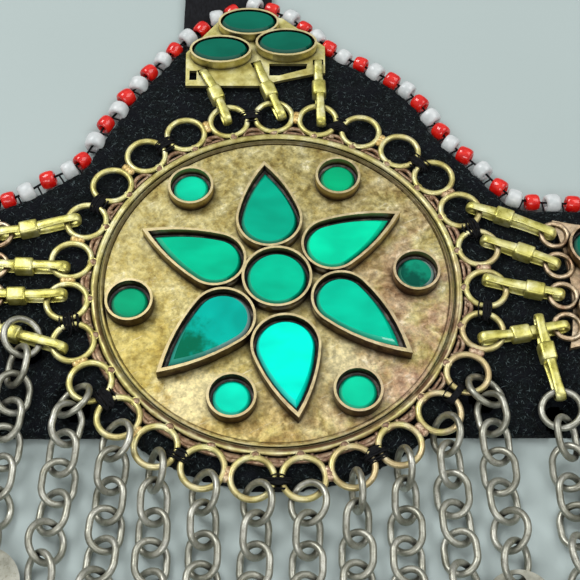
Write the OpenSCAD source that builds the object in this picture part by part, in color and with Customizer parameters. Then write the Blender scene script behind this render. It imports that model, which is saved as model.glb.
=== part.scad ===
// Forehead ornament of black felt with a jewelled brass medallion, two side plates,
// a plate on the peak, folded brass links and a fringe of chains with discs.
// It lies face up. The origin is on the underside of the felt, under the middle of the medallion.
// +X runs along the band, +Y points to the peak and the head strap, -Y to the fringe.

/* [Felt] */
// Thickness of the felt
felt_t = 2; // [1.8:0.1:2.2]
// Half of the length of the band
band_half = 84; // [78:1:110]
// Height of the band's top edge over the middle
band_top = 14.8; // [14:0.1:15.5]
// Depth of the band's bottom edge under the middle
band_bottom = 26.3; // [26:0.1:27.5]
// Radius of the round bulge under the medallion
bulge_r = 34.8; // [34:0.1:36]
// Thickness of the head strap
strap_t = 1.6; // [1.2:0.1:2]
// Height of the strap's free end over the middle
strap_end = 118; // [90:1:200]

/* [Medallion] */
// Thickness of the sheet brass of the plates
plate_t = 0.8; // [0.7:0.05:0.9]
// Outer radius of the medallion's rim
rim_r = 30; // [29.5:0.1:30.2]
// Thickness of the rim wire
rim_wire = 1.2; // [1:0.05:1.4]
// Number of wire loops round the medallion
loop_count = 27; // [27]
// Outer diameter of a wire loop
loop_d = 7.5; // [7.3:0.05:7.6]
// Thickness of the loop wire
loop_wire = 1; // [0.9:0.05:1.05]

/* [Settings] */
// Height of a collet's wall over its plate
collet_h = 2.2; // [1.8:0.1:2.6]
// Thickness of a collet's wall
collet_t = 0.4; // [0.35:0.05:0.5]
// Dark gap between the glass and the wall
glass_gap = 0.5; // [0.3:0.05:0.6]
// Height of the glass
glass_h = 1.5; // [1.2:0.1:1.8]
// Height of the glass in the small round collets
low_glass_h = 0.9; // [0.8:0.1:1.5]
// Diameter of the middle collet
centre_d = 11.3; // [11:0.1:11.5]
// Diameter of the six small round collets
small_d = 7.6; // [7:0.1:8]
// Diameter of the collets on the side plates
side_d = 8.7; // [8:0.1:9]

/* [Links] */
// Width of the folded strip
strip_w = 1.5; // [1.2:0.05:1.5]
// Thickness of the folded strip
strip_t = 0.4; // [0.35:0.05:0.45]
// Height of a folded link
strip_h = 2.3; // [2.25:0.05:2.35]
// Length of a link's collar
collar_l = 3; // [2.6:0.1:3.2]
// Width of a link's collar
collar_w = 2.5; // [2.2:0.1:2.6]

/* [Fringe] */
// Thickness of the chain wire
chain_wire = 1.05; // [0.95:0.05:1.1]
// Outer length of an oval link
oval_l = 7.4; // [7.2:0.1:7.6]
// Outer width of an oval link
oval_w = 6; // [5.9:0.05:6.1]
// Outer diameter of a round ring
ring_d = 7; // [6.9:0.1:7.1]
// Diameter of a disc
disc_d = 10.2; // [9.8:0.1:10.4]
// Thickness of a disc
disc_t = 0.6; // [0.5:0.05:0.7]

/* [Hidden] */
$fn = 48;
gap = 0.1;
seat = felt_t + gap;
wire_z = seat + strip_t + gap + loop_wire / 2 + 0.05;
plate_top = seat + plate_t;
loop_r = (loop_d - loop_wire) / 2;
loop_ring_r = rim_r + loop_d / 2 - 0.05;
loop_start = 91;
// Turn of each loop from its even place, in degrees, as hand work leaves it
LOOP_TURNS = [
    0, 0, 0, 0, 0, 0, 0, 0, 0, -0.3, -0.8, -1.4, -1.5, -1,
    -0.5, 0, 0, 0.5, 1, 1.5, 2, 2.2, 2.2, 1.6, 0.9, 0.5, 0.2
];

// Edge of the peak from the left end of the band to the right one, as x and y
PEAK = [
    [-46.5, band_top], [-41.6, 17.4], [-37, 20.4], [-33.2, 23], [-31.2, 28], [-28.2, 33.8], [-23.6, 42],
    [-17.8, 50], [-11, 56.5], [-5, 60], [1.5, 57.2], [8.8, 49.8], [17, 44.5], [21.6, 41],
    [25, 36.6], [27, 31.8], [31, 26], [35.2, 21], [38.6, 16.6], [42, band_top]
];
// Strap's left and right edge
strap_x = [-17.5, -1];
// Part of the peak's edge that the strap follows
STRAP_SEAM = [[-17.5, 50.4], [-11, 56.9], [-5, 60.4], [-1, 58.7]];

// Petals, as the end near the middle, the tip, the half width and the radius of the curved flanks
petal_near = 0;
petal_tip = 1;
petal_half = 2;
petal_flank = 3;
PETALS = [
    [[-0.85, 5.6], [-2.2, 22.7], 5.5, 26], [[4.55, 3.75], [20.5, 12.4], 5, 32],
    [[6.7, -0.6], [20.9, -13.9], 4.95, 30], [[0.55, -6.9], [3.25, -24.7], 5.5, 28],
    [[-4.8, -3.7], [-18.4, -17.2], 5.3, 34], [[-5.4, 1.1], [-22.1, 8.9], 5.1, 34]
];

// Small round stones of the medallion, as angle and distance from the middle
ROUNDS = [[129.2, 22.9], [62.5, 22.3], [3, 22.5], [-58.2, 23.4], [-108.2, 22], [190.5, 23.8]];

// Oval stones of the peak plate, as x and y
PEAK_STONES = [[-5.2, 54.5], [-10.2, 47.8], [1.7, 49.5]];
peak_stone = [11.2, 6.6];
peak_plate = [
    [-16.4, 40.7], [-3, 40.7], [0.1, 41.8], [6.6, 43.5], [8.7, 43.7], [8.8, 50],
    [1, 57], [-5, 58.4], [-11, 56], [-16.6, 48.4]
];
// Openings of the plate, through which the felt shows
PEAK_WINDOWS = [
    [[-1.4, 43.1], [0.4, 43.1], [5.3, 44.7], [5.5, 45.9], [-1.4, 45.9]],
    [[-15.8, 42], [-14.5, 42], [-14.5, 44.2], [-15.8, 44.2]]
];

// Side plates
side_x = 58;
side_y = 0;
side_half = 12;
side_sag = 1.6;
side_stone = 5.9;
side_loop_r = 2.2;
side_wire = 0.85;
SIDE_LOOPS = [8.9, 3, -2.7, -8.3];

function polar(r, a) = [r * cos(a), r * sin(a)];
function turn(p, a) = [p.x * cos(a) - p.y * sin(a), p.x * sin(a) + p.y * cos(a)];
function loop_angle(k) = loop_start - 360 / loop_count * k + LOOP_TURNS[k];
function loop_at(k) = polar(loop_ring_r, loop_angle(k));
function side_loop_at(side, k) = [side * (side_x - side_half), side_y + SIDE_LOOPS[k]];

// Folded links, each from one point to the other, with the collar's place from 0 to 1
link_from = 0;
link_to = 1;
link_collar = 2;
link_rise = 3;
// A link ends a little short of the middle of a side plate's loop
function side_link(k, shift, side, j, collar) =
    let (from = loop_at(k) + shift, to = side_loop_at(side, j), way = to - from)
    [from, to - 0.9 * way / norm(way), collar, 0];
PEAK_LINKS = [
    [loop_at(26) + [-0.4, 0.6], [-13, 43.2], 0.52, 0], [loop_at(0) + [1.2, 0.6], [-3.4, 45], 0.48, 0],
    [loop_at(1) + [0.6, 0], [7.5, 45.4], 0.55, 0]
];
LEFT_LINKS = [
    side_link(22, [-2, 0.2], -1, 0, 0.64), side_link(21, [-1.2, -1.4], -1, 1, 0.6),
    side_link(20, [-1.1, 1.1], -1, 2, 0.66), side_link(19, [-1.8, -1], -1, 3, 0.7)
];
right_drop = [42.9, -20.4];
drop_rise = 0.9;
RIGHT_LINKS = [
    side_link(5, [2.2, 0.4], 1, 0, 0.4), side_link(6, [1.6, 1.2], 1, 1, 0.55),
    side_link(7, [0.6, 1.5], 1, 2, 0.66), side_link(8, [0.2, -1.4], 1, 3, 0.45),
    [[41.3, -7.8], right_drop, 0.45, drop_rise]
];

// Fringe's own sizes
ring_r = (ring_d - chain_wire) / 2;
oval_r = (oval_l - chain_wire) / 2;
hook = chain_wire + 0.35;
oval_hook = chain_wire + 0.95;
oval_count = 4;
ring_lean = 36;
first_lean = 46;
link_lean = 30;
end_lean = 45;
link_mid_z = seat + strip_h / 2;

// First rings, as the middle, its height, the way from the loop to the ring, the lean to one
// side, the drop towards the chain, the chain's sideways drift and its number of oval links
chain_mid = 0;
chain_z = 1;
chain_way = 2;
chain_lean = 3;
chain_pitch = 4;
chain_drift = 5;
chain_ovals = 6;
// A ring in a loop reaches down or up to the height of the next link
function hooked(p, reach, way, lean, drift) =
    let (
        far = lie_z(p + polar(reach + ring_r, way), 1),
        level = abs(way + 90) > 30,
        drop = level ? 0 : (wire_z - far) / 2,
        stand = ring_r * sin(abs(lean)) + chain_wire / 2 + 0.2
    )
    [p + polar(reach, way), max(wire_z - drop, stand), way, lean, asin(drop / ring_r), drift, oval_count];
function on_loop(k, way, lean, drift) = hooked(loop_at(k), ring_r + 0.9, way, lean, drift);
foot_x = [-7, 0, 7];
function foot_at(side, k) =
    let (t = foot_x[k] / side_half)
    [side * side_x + foot_x[k], side_y - side_half + side_sag * (1 - t * t) - side_loop_r + side_wire];
function foot_chain(side, k) = hooked(foot_at(side, k), ring_r - 0.1, -90, ring_lean, 0);
// The twelfth ring passes through the end of the hanging link, the eleventh through a side link
drop_lean = 13;
drop_ring = [
    right_drop - [0, ring_r - 0.35], link_mid_z + drop_rise, -90, drop_lean, 0, 0.03, oval_count
];
left_hold = [-37, -11.1];
left_pitch = 6;
left_ring = [
    left_hold - [ring_r * cos(ring_lean), 0],
    link_mid_z + ring_r * sin(ring_lean), -90, -ring_lean, left_pitch, -0.06, oval_count + 1
];
CHAINS = concat(
    [
        on_loop(9, -50, -ring_lean, 0.074), on_loop(10, -79, 56, 0.05),
        on_loop(11, -84, 76, -0.01), on_loop(12, -84, 80, -0.02),
        on_loop(13, -80, 32, -0.03), on_loop(14, -78, 46, -0.04),
        on_loop(15, -84, 50, 0), on_loop(16, -86, 64, -0.01),
        on_loop(17, -90, 40, -0.062), on_loop(18, -126, 42, -0.09),
        left_ring, drop_ring
    ],
    [for (k = [0 : 2]) foot_chain(-1, k)],
    [for (k = [0 : 2]) foot_chain(1, k)]
);

STONE_NAMES = concat(
    [for (i = [1 : 6]) str("petal_stone_", i)], [for (i = [1 : 6]) str("round_stone_", i)],
    [for (i = [1 : 3]) str("peak_stone_", i)], [for (i = [1 : 4]) str("left_stone_", i)],
    [for (i = [1 : 4]) str("right_stone_", i)]
);
LINK_NAMES = concat(
    [for (i = [1 : 3]) str("peak_link_", i)], [for (i = [1 : 4]) str("left_link_", i)],
    [for (i = [1 : 5]) str("right_link_", i)]
);

// Outline of a drop round the origin with its tip on +X, its flanks arcs of the given radius
function drop(r, tip, flank) =
    let (
        a = acos((2 * flank * r - r * r - tip * tip) / (2 * tip * (flank - r))),
        mid = -polar(flank - r, a),
        at_tip = atan2(-mid.y, tip - mid.x),
        steps = 24,
        upper = [for (i = [1 : 5]) mid + polar(flank, at_tip + (a - at_tip) * i / 6)]
    )
    concat(
        [[tip, 0]], upper, [for (i = [0 : steps]) polar(r, a + (360 - 2 * a) * i / steps)],
        [for (i = [4 : -1 : 0]) [upper[i].x, -upper[i].y]]
    );
function oval(size) = [for (i = [0 : 27]) [size.x / 2 * cos(i * 360 / 28), size.y / 2 * sin(i * 360 / 28)]];
function stadium(l, h) = concat(
    [for (i = [0 : 8]) polar(h / 2, 90 + i * 22.5) + [h / 2, 0]],
    [for (i = [0 : 8]) polar(h / 2, -90 + i * 22.5) + [l - h / 2, 0]]
);

module torus(d, wire) {
    rotate_extrude()
        translate([(d - wire) / 2, 0])
            circle(d = wire, $fn = 24);
}

// Wall round a stone, on top of the plate
module wall(outer, inner, h) {
    linear_extrude(h)
        difference() {
            polygon(outer);
            polygon(inner);
        }
}

module round_collet(d, h) {
    difference() {
        cylinder(d = d, h = h);
        translate([0, 0, -1])
            cylinder(d = d - 2 * collet_t, h = h + 2);
    }
}

// Flat-topped glass with a bevel, from the outline at its foot to that of its table
module glass(foot, table, h) {
    n = len(foot);
    rings = [[foot, 0], [foot, h * 0.6], [table, h]];
    points = [for (ring = rings) for (p = ring[0]) [p.x, p.y, ring[1]]];
    sides = [
        for (k = [0 : 1]) for (i = [0 : n - 1])
            [k * n + i, (k + 1) * n + i, (k + 1) * n + (i + 1) % n, k * n + (i + 1) % n]
    ];
    polyhedron(
        points,
        concat([[for (i = [0 : n - 1]) i]], sides, [[for (i = [n - 1 : -1 : 0]) 2 * n + i]]),
        convexity = 4
    );
}

module round_glass(d, h) {
    bevel = 0.45;
    rotate_extrude()
        polygon([[0, 0], [d / 2, 0], [d / 2, h * 0.6], [d / 2 - bevel, h], [0, h]]);
}

// Band, peak and round bulge as one outline
module felt_outline() {
    turn_in = acos(band_bottom / bulge_r);
    steps = 24;
    bulge = [for (i = [0 : steps]) polar(bulge_r, -90 - turn_in + 2 * turn_in * i / steps)];
    polygon(concat(
        [[-band_half, band_top]], PEAK, [[band_half, band_top], [band_half, -band_bottom]],
        [for (i = [steps : -1 : 0]) bulge[i]], [[-band_half, -band_bottom]]
    ));
}

// The rings press dents into the felt
module felt_backing() {
    dent_depth = 1.6;
    color("#17181b")
        difference() {
            linear_extrude(felt_t)
                felt_outline();
            for (c = CHAINS)
                translate([c[chain_mid].x, c[chain_mid].y, felt_t - dent_depth])
                    cylinder(d = ring_d + 0.4, h = felt_t);
        }
}

module head_strap() {
    color("#101113")
        linear_extrude(strap_t)
            polygon(concat(STRAP_SEAM, [[strap_x[1], strap_end], [strap_x[0], strap_end]]));
}

// Puts a drop with its round middle on the origin where a petal lies
module petal_place(p) {
    way = p[petal_tip] - p[petal_near];
    middle = p[petal_near] + way * p[petal_half] / norm(way);
    translate(middle)
        rotate(atan2(way.y, way.x))
            children();
}

function petal_reach(p) = norm(p[petal_tip] - p[petal_near]) - p[petal_half];

module petal_collet(p) {
    inner = (p[petal_half] - collet_t) / p[petal_half];
    petal_place(p)
        wall(
            drop(p[petal_half], petal_reach(p), p[petal_flank]),
            drop(p[petal_half] * inner, petal_reach(p) * inner, p[petal_flank] * inner),
            collet_h + 0.1
        );
}

module medallion_mount() {
    color("#a8965a")
        union() {
            translate([0, 0, seat])
                cylinder(r = rim_r - rim_wire / 2, h = plate_t, $fn = 96);
            translate([0, 0, plate_top])
                torus(2 * rim_r, rim_wire, $fn = 96);
            translate([0, 0, plate_top])
                torus(2 * (rim_r - rim_wire - 0.15), rim_wire * 0.7, $fn = 96);
            for (k = [0 : loop_count - 1])
                medallion_loop(k);
            translate([0, 0, plate_top - 0.1]) {
                round_collet(centre_d, collet_h + 0.1);
                for (p = PETALS)
                    petal_collet(p);
                for (s = ROUNDS)
                    translate(polar(s[1], s[0]))
                        round_collet(small_d, collet_h + 0.1);
            }
        }
}

// A wire loop and the lump of solder that holds it to the rim
module medallion_loop(k) {
    solder_r = 0.75;
    solder_h = 1.15;
    translate([loop_at(k).x, loop_at(k).y, wire_z])
        torus(loop_d, loop_wire);
    translate([0, 0, seat + 0.2])
        translate(polar(rim_r + 0.2, loop_angle(k)))
            cylinder(r = solder_r, h = solder_h);
}

module centre_stone() {
    color("#12b884")
        translate([0, 0, plate_top + gap])
            round_glass(centre_d - 2 * collet_t - 2 * glass_gap, glass_h);
}

module petal_stone(p) {
    bevel = 0.45;
    r = p[petal_half] - collet_t - glass_gap;
    reach = petal_reach(p) / p[petal_half];
    flank = p[petal_flank] / p[petal_half];
    table = r - bevel;
    color("#12b884")
        translate([0, 0, plate_top + gap])
            petal_place(p)
                glass(drop(r, reach * r, flank * r), drop(table, reach * table, flank * table), glass_h);
}

module round_stone(s) {
    color("#12b884")
        translate([0, 0, plate_top + gap])
            translate(polar(s[1], s[0]))
                round_glass(small_d - 2 * collet_t - 2 * glass_gap, low_glass_h);
}

// The peak plate stands a little over the felt, so that the links pass under its edge
peak_plate_t = 0.6;
peak_plate_z = wire_z - peak_plate_t / 2 - 0.05;

module peak_mount() {
    inner = [for (i = [0 : 1]) peak_stone[i] - 2 * collet_t];
    color("#b09c60")
        difference() {
            union() {
                translate([0, 0, peak_plate_z])
                    linear_extrude(peak_plate_t)
                        polygon(peak_plate);
                for (s = PEAK_STONES)
                    translate([s.x, s.y, peak_plate_z + peak_plate_t - 0.1])
                        wall(oval(peak_stone), oval(inner), collet_h - 0.2);
            }
            for (l = PEAK_LINKS)
                peak_slot(l);
            for (w = PEAK_WINDOWS)
                translate([0, 0, peak_plate_z - 1])
                    linear_extrude(peak_plate_t + 2)
                        polygon(w);
        }
}

// Slot for the fold of a link
module peak_slot(l) {
    way = l[link_to] - l[link_from];
    slot = [1.2, strip_w + 0.4, 2 * peak_plate_t];
    translate([l[link_to].x, l[link_to].y, peak_plate_z + peak_plate_t / 2])
        rotate([0, 0, atan2(way.y, way.x)])
            translate([strip_h / 2 - 0.27, 0, 0])
                cube(slot, center = true);
}

module peak_stone(s) {
    foot = [for (i = [0 : 1]) peak_stone[i] - 2 * collet_t - glass_gap];
    table = [for (i = [0 : 1]) foot[i] - 0.9];
    color("#0b7a5c")
        translate([s.x, s.y, peak_plate_z + peak_plate_t + gap])
            glass(oval(foot), oval(table), glass_h + 0.5);
}

// Square with hollow sides and pointed corners
module side_outline() {
    polygon([
        for (k = [0 : 3]) for (t = [-1 : 0.25 : 0.75])
            turn([side_half - side_sag * (1 - t * t), side_half * t], k * 90)
    ]);
}

module side_loop(p) {
    translate([p.x, p.y, wire_z])
        torus(2 * side_loop_r + side_wire, side_wire);
}

module side_mount(side) {
    color("#b09c60")
        union() {
            translate([side * side_x, side_y, seat])
                linear_extrude(plate_t + 0.1)
                    side_outline();
            for (k = [0 : 3])
                side_loop(side_loop_at(side, k));
            for (k = [0 : 2])
                side_loop(foot_at(side, k));
            for (x = [-1, 1])
                for (y = [-1, 1])
                    translate([side * side_x + x * side_stone, side_y + y * side_stone, plate_top])
                        round_collet(side_d, collet_h);
        }
}

module side_stone(side, i) {
    corner = [[-1, 1], [1, 1], [-1, -1], [1, -1]][i];
    middle = [side * side_x, side_y] + side_stone * [corner.x, corner.y];
    color("#0d8a66")
        translate([middle.x, middle.y, plate_top + 2 * gap])
            round_glass(side_d - 2 * collet_t - 2 * glass_gap, glass_h);
}

// Strip folded into a long narrow loop that stands on its edge, with a collar round both leaves
module folded_link(l) {
    way = l[link_to] - l[link_from];
    length = norm(way) + strip_h;
    inner = strip_h - 2 * strip_t;
    color("#c3b56a")
        translate([l[link_from].x, l[link_from].y, link_mid_z + l[link_rise]])
            rotate([0, 0, atan2(way.y, way.x)])
                union() {
                    translate([-strip_h / 2, strip_w / 2, -strip_h / 2])
                        rotate([90, 0, 0])
                            linear_extrude(strip_w)
                                translate([0, strip_h / 2])
                                    difference() {
                                        polygon(stadium(length, strip_h));
                                        translate([strip_t, 0])
                                            polygon(stadium(length - 2 * strip_t, inner));
                                    }
                    translate([norm(way) * l[link_collar] - collar_l / 2, -collar_w / 2, -strip_h / 2])
                        cube([collar_l, collar_w, strip_h + 0.3]);
                }
}

// Fringe. What follows the first ring lies down over the felt's edge to the floor
disc_hole = 2.6;
disc_hole_at = disc_d / 2 - disc_hole / 2 - 0.6;
disc_roll = -12;
disc_pitch = 5;
// Lower edge of the felt at a given x
function felt_edge(x) =
    let (bulge_half = sqrt(bulge_r * bulge_r - band_bottom * band_bottom))
    abs(x) < bulge_half ? -sqrt(bulge_r * bulge_r - x * x) : -band_bottom;
// How far each piece leans over from lying flat
function lean_of(i, ovals) = i > ovals ? end_lean : i == 1 ? first_lean : link_lean;
// Height of a piece's middle over what it lies on
function lie(i, ovals) =
    (i > ovals ? ring_r : (oval_w - chain_wire) / 2) * sin(lean_of(i, ovals)) + chain_wire / 2 + 0.24;
// Height of a piece's middle, over the felt, on the way down and on the floor
function lie_z(p, i, ovals = 1) =
    let (past = felt_edge(p.x) - p.y, top = 1.6, foot = 9.5)
    lie(i, ovals) + felt_t * min(1, max(0, (foot - past) / (foot - top)));
// Distance from the first ring's middle to its wire, straight down the chain
function ring_out(c) = ring_r * cos(c[chain_pitch]) * (abs(c[chain_way] + 90) > 30 ? 0.97 : 1);
function step(c, i) =
    i == 1 ? ring_out(c) + oval_r - hook :
    i <= c[chain_ovals] ? 2 * oval_r - oval_hook :
    i == c[chain_ovals] + 1 ? ring_r + oval_r - hook : 2 * ring_r - hook;
function place(c, i) =
    i == 0 ? [c[chain_mid].x, c[chain_mid].y, c[chain_z]] :
    let (
        here = place(c, i - 1),
        length = step(c, i),
        z = lie_z([here.x, here.y - length], i, c[chain_ovals]),
        run = sqrt(length * length - (z - here.z) * (z - here.z))
    )
    [here.x + run * c[chain_drift], here.y - run, z];

module oval_link() {
    straight = oval_l - oval_w;
    for (s = [0, 180])
        rotate(s)
            translate([straight / 2, 0, 0])
                rotate([0, 0, -90])
                    rotate_extrude(angle = 180)
                        translate([(oval_w - chain_wire) / 2, 0])
                            circle(d = chain_wire, $fn = 24);
    for (s = [-1, 1])
        translate([-straight / 2, s * (oval_w - chain_wire) / 2, 0])
            rotate([0, 90, 0])
                cylinder(d = chain_wire, h = straight, $fn = 24);
}

// Puts a piece with its length on +X at a place of the chain, along a way, leaning over
module laid(here, way, lean) {
    translate(here)
        rotate([0, atan2(-way.z, norm([way.x, way.y])), atan2(way.y, way.x)])
            rotate([lean, 0, 0])
                children();
}

// Place of the first ring's wire where the chain leaves it
function ring_exit(c) =
    let (turned = abs(c[chain_way] + 90))
    [
        c[chain_mid].x, c[chain_mid].y - ring_out(c),
        c[chain_z] - ring_r * sin(c[chain_pitch]) + ring_r * (turned > 30 ? sin(turned) * sin(ring_lean) : 0)
    ];
function unit(v) = v / norm(v);

module chain(c) {
    last = c[chain_ovals] + 2;
    side = c[chain_lean] < 0 ? -1 : 1;
    hole = disc_hole_place(c);
    color("#8d8a80")
        union() {
            translate(place(c, 0))
                rotate([0, c[chain_pitch], c[chain_way]])
                    rotate([c[chain_lean], 0, 0])
                        torus(ring_d, chain_wire);
            for (i = [1 : last]) {
                here = place(c, i);
                before = i == 1 ? ring_exit(c) : place(c, i - 1);
                after = i == last ? hole : place(c, i + 1);
                lean = lean_of(i, c[chain_ovals]) * (i % 2 == 0 ? side : -side);
                laid(here, i == last ? hole - here : unit(here - before) + unit(after - here), lean)
                    if (i <= c[chain_ovals])
                        oval_link();
                    else
                        torus(ring_d, chain_wire);
            }
            disc(hole, last % 2 == 0 ? -side : side);
        }
}

// Middle of a disc's hole, where the last ring's wire passes
function disc_hole_place(c) =
    let (
        ring = place(c, c[chain_ovals] + 2),
        z = disc_d / 2 * sin(abs(disc_roll)) + disc_t / 2 + disc_hole_at * sin(disc_pitch) + 0.45
    )
    [ring.x, ring.y - sqrt(ring_r * ring_r - (ring.z - z) * (ring.z - z)), z];

// A disc leans on the next one
module disc(hole, side) {
    translate(hole)
        rotate([disc_pitch, side * disc_roll, 0])
            translate([0, -disc_hole_at, -disc_t / 2])
                difference() {
                    cylinder(d = disc_d, h = disc_t);
                    translate([0, disc_hole_at, -1])
                        cylinder(d = disc_hole, h = disc_t + 2);
                }
}

felt_backing();
head_strap();
medallion_mount();
peak_mount();
side_mount(-1);  // left_mount
side_mount(1);  // right_mount
centre_stone();
for (i = [1 : 6]) {
    petal_stone(PETALS[i - 1]);
    round_stone(ROUNDS[i - 1]);
}
for (i = [1 : 3]) {
    peak_stone(PEAK_STONES[i - 1]);
    folded_link(PEAK_LINKS[i - 1]);
}
for (i = [1 : 4]) {
    side_stone(-1, i - 1);
    side_stone(1, i - 1);
    folded_link(LEFT_LINKS[i - 1]);
}
for (i = [1 : 5])
    folded_link(RIGHT_LINKS[i - 1]);
for (i = [1 : 18])
    chain(CHAINS[i - 1]);
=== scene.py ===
"""Looks of the matha patti: felt, seed beads, threads, brass, green glass and grey chains.

Lengths in the tables are in millimetres, in the row frame; MM turns them into metres.
"""

import math
import random

import bmesh
import bpy
from mathutils import Matrix, Vector, noise


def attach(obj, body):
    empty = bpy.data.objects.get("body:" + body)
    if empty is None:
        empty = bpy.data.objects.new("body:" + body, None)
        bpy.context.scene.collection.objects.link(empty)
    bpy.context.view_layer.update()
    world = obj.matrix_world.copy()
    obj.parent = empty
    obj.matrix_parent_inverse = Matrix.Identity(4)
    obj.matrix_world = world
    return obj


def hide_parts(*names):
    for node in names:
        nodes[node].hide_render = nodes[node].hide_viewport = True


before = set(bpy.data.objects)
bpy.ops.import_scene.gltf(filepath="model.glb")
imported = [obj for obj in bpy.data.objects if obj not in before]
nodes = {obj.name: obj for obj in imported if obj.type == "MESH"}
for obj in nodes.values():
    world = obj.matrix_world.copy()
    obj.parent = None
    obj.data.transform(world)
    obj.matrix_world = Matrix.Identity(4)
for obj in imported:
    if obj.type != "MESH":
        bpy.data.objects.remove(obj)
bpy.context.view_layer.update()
MM = 0.001
PHOTO_PX = 580


# Materials


class Shader:
    """A material's node tree, with a Principled BSDF at its end."""

    def __init__(self, name):
        self.material = bpy.data.materials.new(name)
        self.material.use_nodes = True
        self.tree = self.material.node_tree
        self.tree.nodes.clear()
        out = self.tree.nodes.new("ShaderNodeOutputMaterial")
        self.bsdf = self.tree.nodes.new("ShaderNodeBsdfPrincipled")
        self.tree.links.new(self.bsdf.outputs[0], out.inputs["Surface"])
        coordinates = self.node("ShaderNodeTexCoord")
        self.place = coordinates.outputs["Object"]
        self.facing = coordinates.outputs["Normal"]

    def node(self, kind, inputs=(), **settings):
        made = self.tree.nodes.new(kind)
        for key, value in settings.items():
            setattr(made, key, value)
        for key, value in dict(inputs).items():
            self.put(made.inputs[key], value)
        return made

    def put(self, socket, value):
        if isinstance(value, bpy.types.NodeSocket):
            self.tree.links.new(value, socket)
        else:
            socket.default_value = value

    def set(self, **values):
        for key, value in values.items():
            self.put(self.bsdf.inputs[key.replace("_", " ")], value)
        return self

    def noise(self, size, detail=4, rough=0.55, stretch=(1, 1, 1), turn=0, warp=0.0):
        """Noise with blobs of about the given size in millimetres, stretched along turned axes."""
        at = self.node(
            "ShaderNodeMapping",
            {"Vector": self.place, "Rotation": (0, 0, turn), "Scale": stretch},
            vector_type="TEXTURE",
        )
        return self.node(
            "ShaderNodeTexNoise",
            {
                "Vector": at.outputs[0],
                "Scale": 1 / (size * MM),
                "Detail": detail,
                "Roughness": rough,
                "Distortion": warp,
            },
        ).outputs["Fac"]

    def ramp(self, value, stops):
        made = self.node("ShaderNodeValToRGB", {"Fac": value})
        ends = made.color_ramp.elements
        while len(ends) < len(stops):
            ends.new(0.5)
        for element, (place, colour) in zip(ends, stops):
            element.position = place
            element.color = (*colour, 1)
        return made.outputs["Color"]

    def mix(self, factor, a, b, how="MIX"):
        made = self.node("ShaderNodeMix", data_type="RGBA", blend_type=how)
        for key, value in ((0, factor), (6, a), (7, b)):
            if isinstance(value, tuple):
                value = (*value, 1)
            self.put(made.inputs[key], value)
        return made.outputs[2]

    def maths(self, how, a, b=0.0, clamp=False):
        made = self.node("ShaderNodeMath", operation=how, use_clamp=clamp)
        self.put(made.inputs[0], a)
        self.put(made.inputs[1], b)
        return made.outputs[0]

    def times(self, a, b, clamp=False):
        return self.maths("MULTIPLY", a, b, clamp)

    def plus(self, a, b, clamp=False):
        return self.maths("ADD", a, b, clamp)

    def minus(self, a, b):
        return self.maths("SUBTRACT", a, b)

    def span(self, value, low, high, to_low=0.0, to_high=1.0):
        return self.node(
            "ShaderNodeMapRange",
            {"Value": value, "From Min": low, "From Max": high, "To Min": to_low, "To Max": to_high},
            interpolation_type="SMOOTHSTEP",
        ).outputs[0]

    def bump(self, height, depth, strength=1.0, on=None):
        values = {"Height": height, "Distance": depth * MM, "Strength": strength}
        if on is not None:
            values["Normal"] = on
        return self.node("ShaderNodeBump", values).outputs[0]

    def crevice(self, reach, low=0.35, high=0.95):
        """0 in corners and under ledges, 1 in the open."""
        shade = self.node("ShaderNodeAmbientOcclusion", {"Distance": reach * MM}, samples=8)
        return self.span(shade.outputs["AO"], low, high)

    def measure(self, how, point):
        """The number that a vector operation gives for this place and a point."""
        made = self.node("ShaderNodeVectorMath", {0: self.place, 1: point}, operation=how)
        return made.outputs["Value"]

    def distance_to(self, x, y, z):
        return self.measure("DISTANCE", (x * MM, y * MM, z * MM))

    def along(self, turn):
        """Distance from the middle along an axis turned from +X."""
        return self.measure("DOT_PRODUCT", (math.cos(turn), math.sin(turn), 0))

    def radius(self):
        flat = self.node(
            "ShaderNodeVectorMath", {0: self.place, 1: (1, 1, 0)}, operation="MULTIPLY"
        )
        return self.node(
            "ShaderNodeVectorMath", {0: flat.outputs[0]}, operation="LENGTH"
        ).outputs["Value"]

    def ring(self, radius, outer, inner):
        """1 within the distance inner of a circle round the middle, 0 past the distance outer."""
        away = self.maths("ABSOLUTE", self.minus(self.radius(), radius * MM))
        return self.span(away, outer * MM, inner * MM)

    def axis(self, which):
        return self.node("ShaderNodeSeparateXYZ", {0: self.place}).outputs[which]

    def upright(self):
        """1 on walls, 0 on level faces."""
        up = self.node("ShaderNodeSeparateXYZ", {0: self.facing}).outputs["Z"]
        return self.span(self.maths("ABSOLUTE", up), 0.7, 0.25)


def metal_bump(s, scratch, dent):
    """Fine scratches in two directions over soft dents."""
    soft = s.bump(s.noise(2.6, 3), dent)
    first = s.noise(0.5, 5, 0.7, (9, 1, 1), 0.5)
    second = s.noise(0.5, 5, 0.7, (9, 1, 1), 1.9)
    lines = s.mix(0.5, first, second)
    return s.bump(lines, scratch, 0.6, soft), first


def mottle(s, colour):
    """Small lighter and darker spots, as on worn brass."""
    spots = s.span(s.noise(0.8, 6, 0.68), 0.33, 0.67, 0.62, 1.2)
    grey = s.node("ShaderNodeCombineColor", {0: spots, 1: spots, 2: spots}).outputs[0]
    return s.mix(1.0, colour, grey, "MULTIPLY")


# Heights and distances of the CAD part that the looks follow
PLATE_TOP = 2.9
COLLET_TOP = 5
DISC_END, WIRE_START = 28.2, 28.6
CORNER_R, GROOVE_R = 28.15, 29.2
PEAK_FOOT = 38

# Worn places of the disc, as the middle and the reach, and how soft their edges are
PALE_PATCHES = [((-13, -20), 5), ((11, -14.5), 3.6), ((-25, -1), 2.6)]
PATCH_SOFT = 2
# Dark colour of dirt and painted shade in corners
DIRT_AND_SHADE = (0.02, 0.012, 0.006)


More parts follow.
